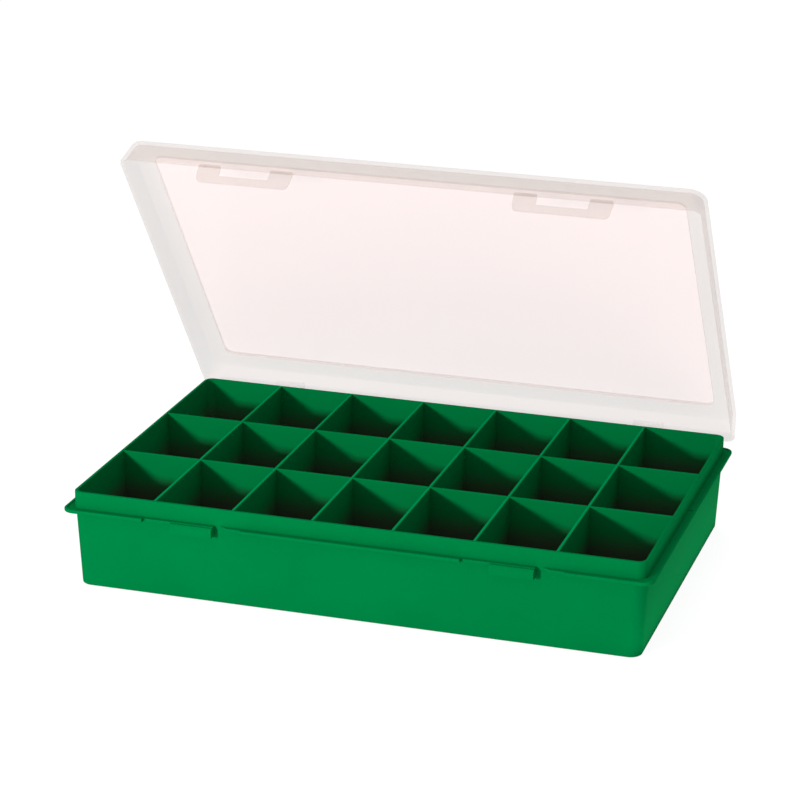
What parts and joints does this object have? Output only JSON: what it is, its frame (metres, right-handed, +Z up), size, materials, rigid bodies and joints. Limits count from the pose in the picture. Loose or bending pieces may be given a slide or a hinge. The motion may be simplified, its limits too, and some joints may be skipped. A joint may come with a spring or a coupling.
{
  "type": "small parts box",
  "caption": "Flat storage box with fixed compartments in a moulded tray, a hinged see-through lid and snap latch tabs, for sorting screws, beads and other small parts.",
  "frame": {"origin": "centre of the compartment grid on the plane of the base", "axes": "+X to the right along the front, +Y to the hinge side at the back, +Z up out of the compartments"},
  "size_m": [0.29, 0.2025, 0.2011],
  "materials": {
    "green_plastic": "opaque mid green moulded plastic, satin gloss",
    "frosted_plastic": "milky translucent moulded plastic, fine frosted texture",
    "clear_plastic": "clear polished plastic"
  },
  "bodies": {
    "tray": {"tray_shell": "green_plastic", "row_divider_1": "green_plastic", "row_divider_2": "green_plastic", "column_divider_1": "green_plastic", "column_divider_2": "green_plastic", "column_divider_3": "green_plastic", "column_divider_4": "green_plastic", "column_divider_5": "green_plastic", "column_divider_6": "green_plastic", "catch_nose_left": "green_plastic", "catch_nose_right": "green_plastic", "hinge_ears_left": "green_plastic", "hinge_ears_right": "green_plastic"},
    "lid": {"lid_frame": "frosted_plastic", "lid_window": "clear_plastic", "hinge_knuckle_left": "frosted_plastic", "hinge_knuckle_right": "frosted_plastic"},
    "latch_left": {"latch_tab_left": "frosted_plastic"},
    "latch_right": {"latch_tab_right": "frosted_plastic"}
  },
  "joints": [
    {"name": "lid_hinge", "type": "hinge", "parent": "tray", "child": "lid", "pos_m": [0, 0.0978, 0.03895], "axis": [-1, 0, 0], "range_deg": [-53.3, 56.7]},
    {"name": "latch_left_hinge", "type": "hinge", "parent": "lid", "child": "latch_left", "pos_m": [0, -0.01654, 0.19419], "axis": [-1, 0, 0], "range_deg": [0, 28], "stiffness_Nm_per_rad": 0.004},
    {"name": "latch_right_hinge", "type": "hinge", "parent": "lid", "child": "latch_right", "pos_m": [0, -0.01654, 0.19419], "axis": [-1, 0, 0], "range_deg": [0, 28], "stiffness_Nm_per_rad": 0.004}
  ]
}
